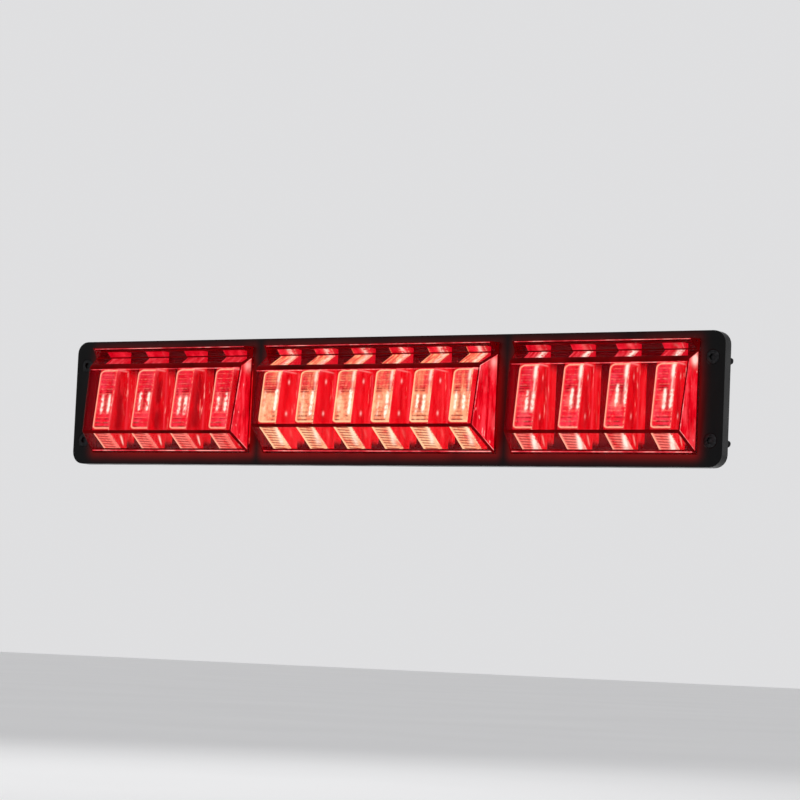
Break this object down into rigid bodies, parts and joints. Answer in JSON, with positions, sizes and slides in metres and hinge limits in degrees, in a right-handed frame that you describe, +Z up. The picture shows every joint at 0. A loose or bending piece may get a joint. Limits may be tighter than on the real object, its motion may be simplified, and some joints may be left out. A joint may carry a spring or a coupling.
{
  "type": "third brake light",
  "caption": "High-mounted LED brake light bar for a pickup cab, with three raised faceted red windows and upright light guide fins.",
  "frame": {"origin": "centre of the cab panel opening that the tub passes through, on the panel's outer skin, which is the rear face of the foam gasket", "axes": "+X along the bar, to the right of someone facing the lit side; -Y out of the lit side, +Y into the cab; +Z up"},
  "size_m": [0.416, 0.0683, 0.072],
  "materials": {
    "housing_black": "moulded black ABS, fine satin texture",
    "bezel_black": "polished black plastic",
    "lens_red": "clear red polycarbonate, polished",
    "guide_clear": "clear acrylic with fine cross ribs, lit red",
    "mask_dark": "moulded dark plastic",
    "tray_white": "moulded white plastic",
    "board_green": "solder mask over glass fibre board",
    "led_package": "moulded package with a silicone dome, lit red",
    "chip_black": "moulded epoxy",
    "rubber_black": "soft black rubber",
    "foam_black": "closed-cell foam",
    "screw_steel": "zinc plated",
    "screw_black": "black coated steel",
    "pin_tin": "tin plated",
    "membrane_white": "porous white film"
  },
  "bodies": {
    "root": {"rear_housing": "housing_black", "front_bezel": "bezel_black", "outer_lens": "lens_red", "lens_seal": "rubber_black", "foam_gasket": "foam_black", "slot_mask": "mask_dark", "reflector_tray": "tray_white", "led_board": "board_green", "light_guide_left": "guide_clear", "light_guide_centre": "guide_clear", "light_guide_right": "guide_clear", "led_01": "led_package", "led_02": "led_package", "led_03": "led_package", "led_04": "led_package", "led_05": "led_package", "led_06": "led_package", "led_07": "led_package", "led_08": "led_package", "led_09": "led_package", "led_10": "led_package", "led_11": "led_package", "led_12": "led_package", "led_13": "led_package", "led_14": "led_package", "regulator_left": "chip_black", "regulator_centre": "chip_black", "regulator_right": "chip_black", "input_diode": "chip_black", "resistor_left": "chip_black", "resistor_centre": "chip_black", "resistor_right": "chip_black", "board_screw_1": "screw_steel", "board_screw_2": "screw_steel", "board_screw_3": "screw_steel", "board_screw_4": "screw_steel", "board_screw_5": "screw_steel", "board_screw_6": "screw_steel", "mounting_screw_1": "screw_black", "mounting_screw_2": "screw_black", "mounting_screw_3": "screw_black", "mounting_screw_4": "screw_black", "inlet_socket": "housing_black", "socket_pin_1": "pin_tin", "socket_pin_2": "pin_tin", "socket_seal": "rubber_black", "vent_cap": "housing_black", "vent_membrane": "membrane_white"}
  },
  "joints": []
}
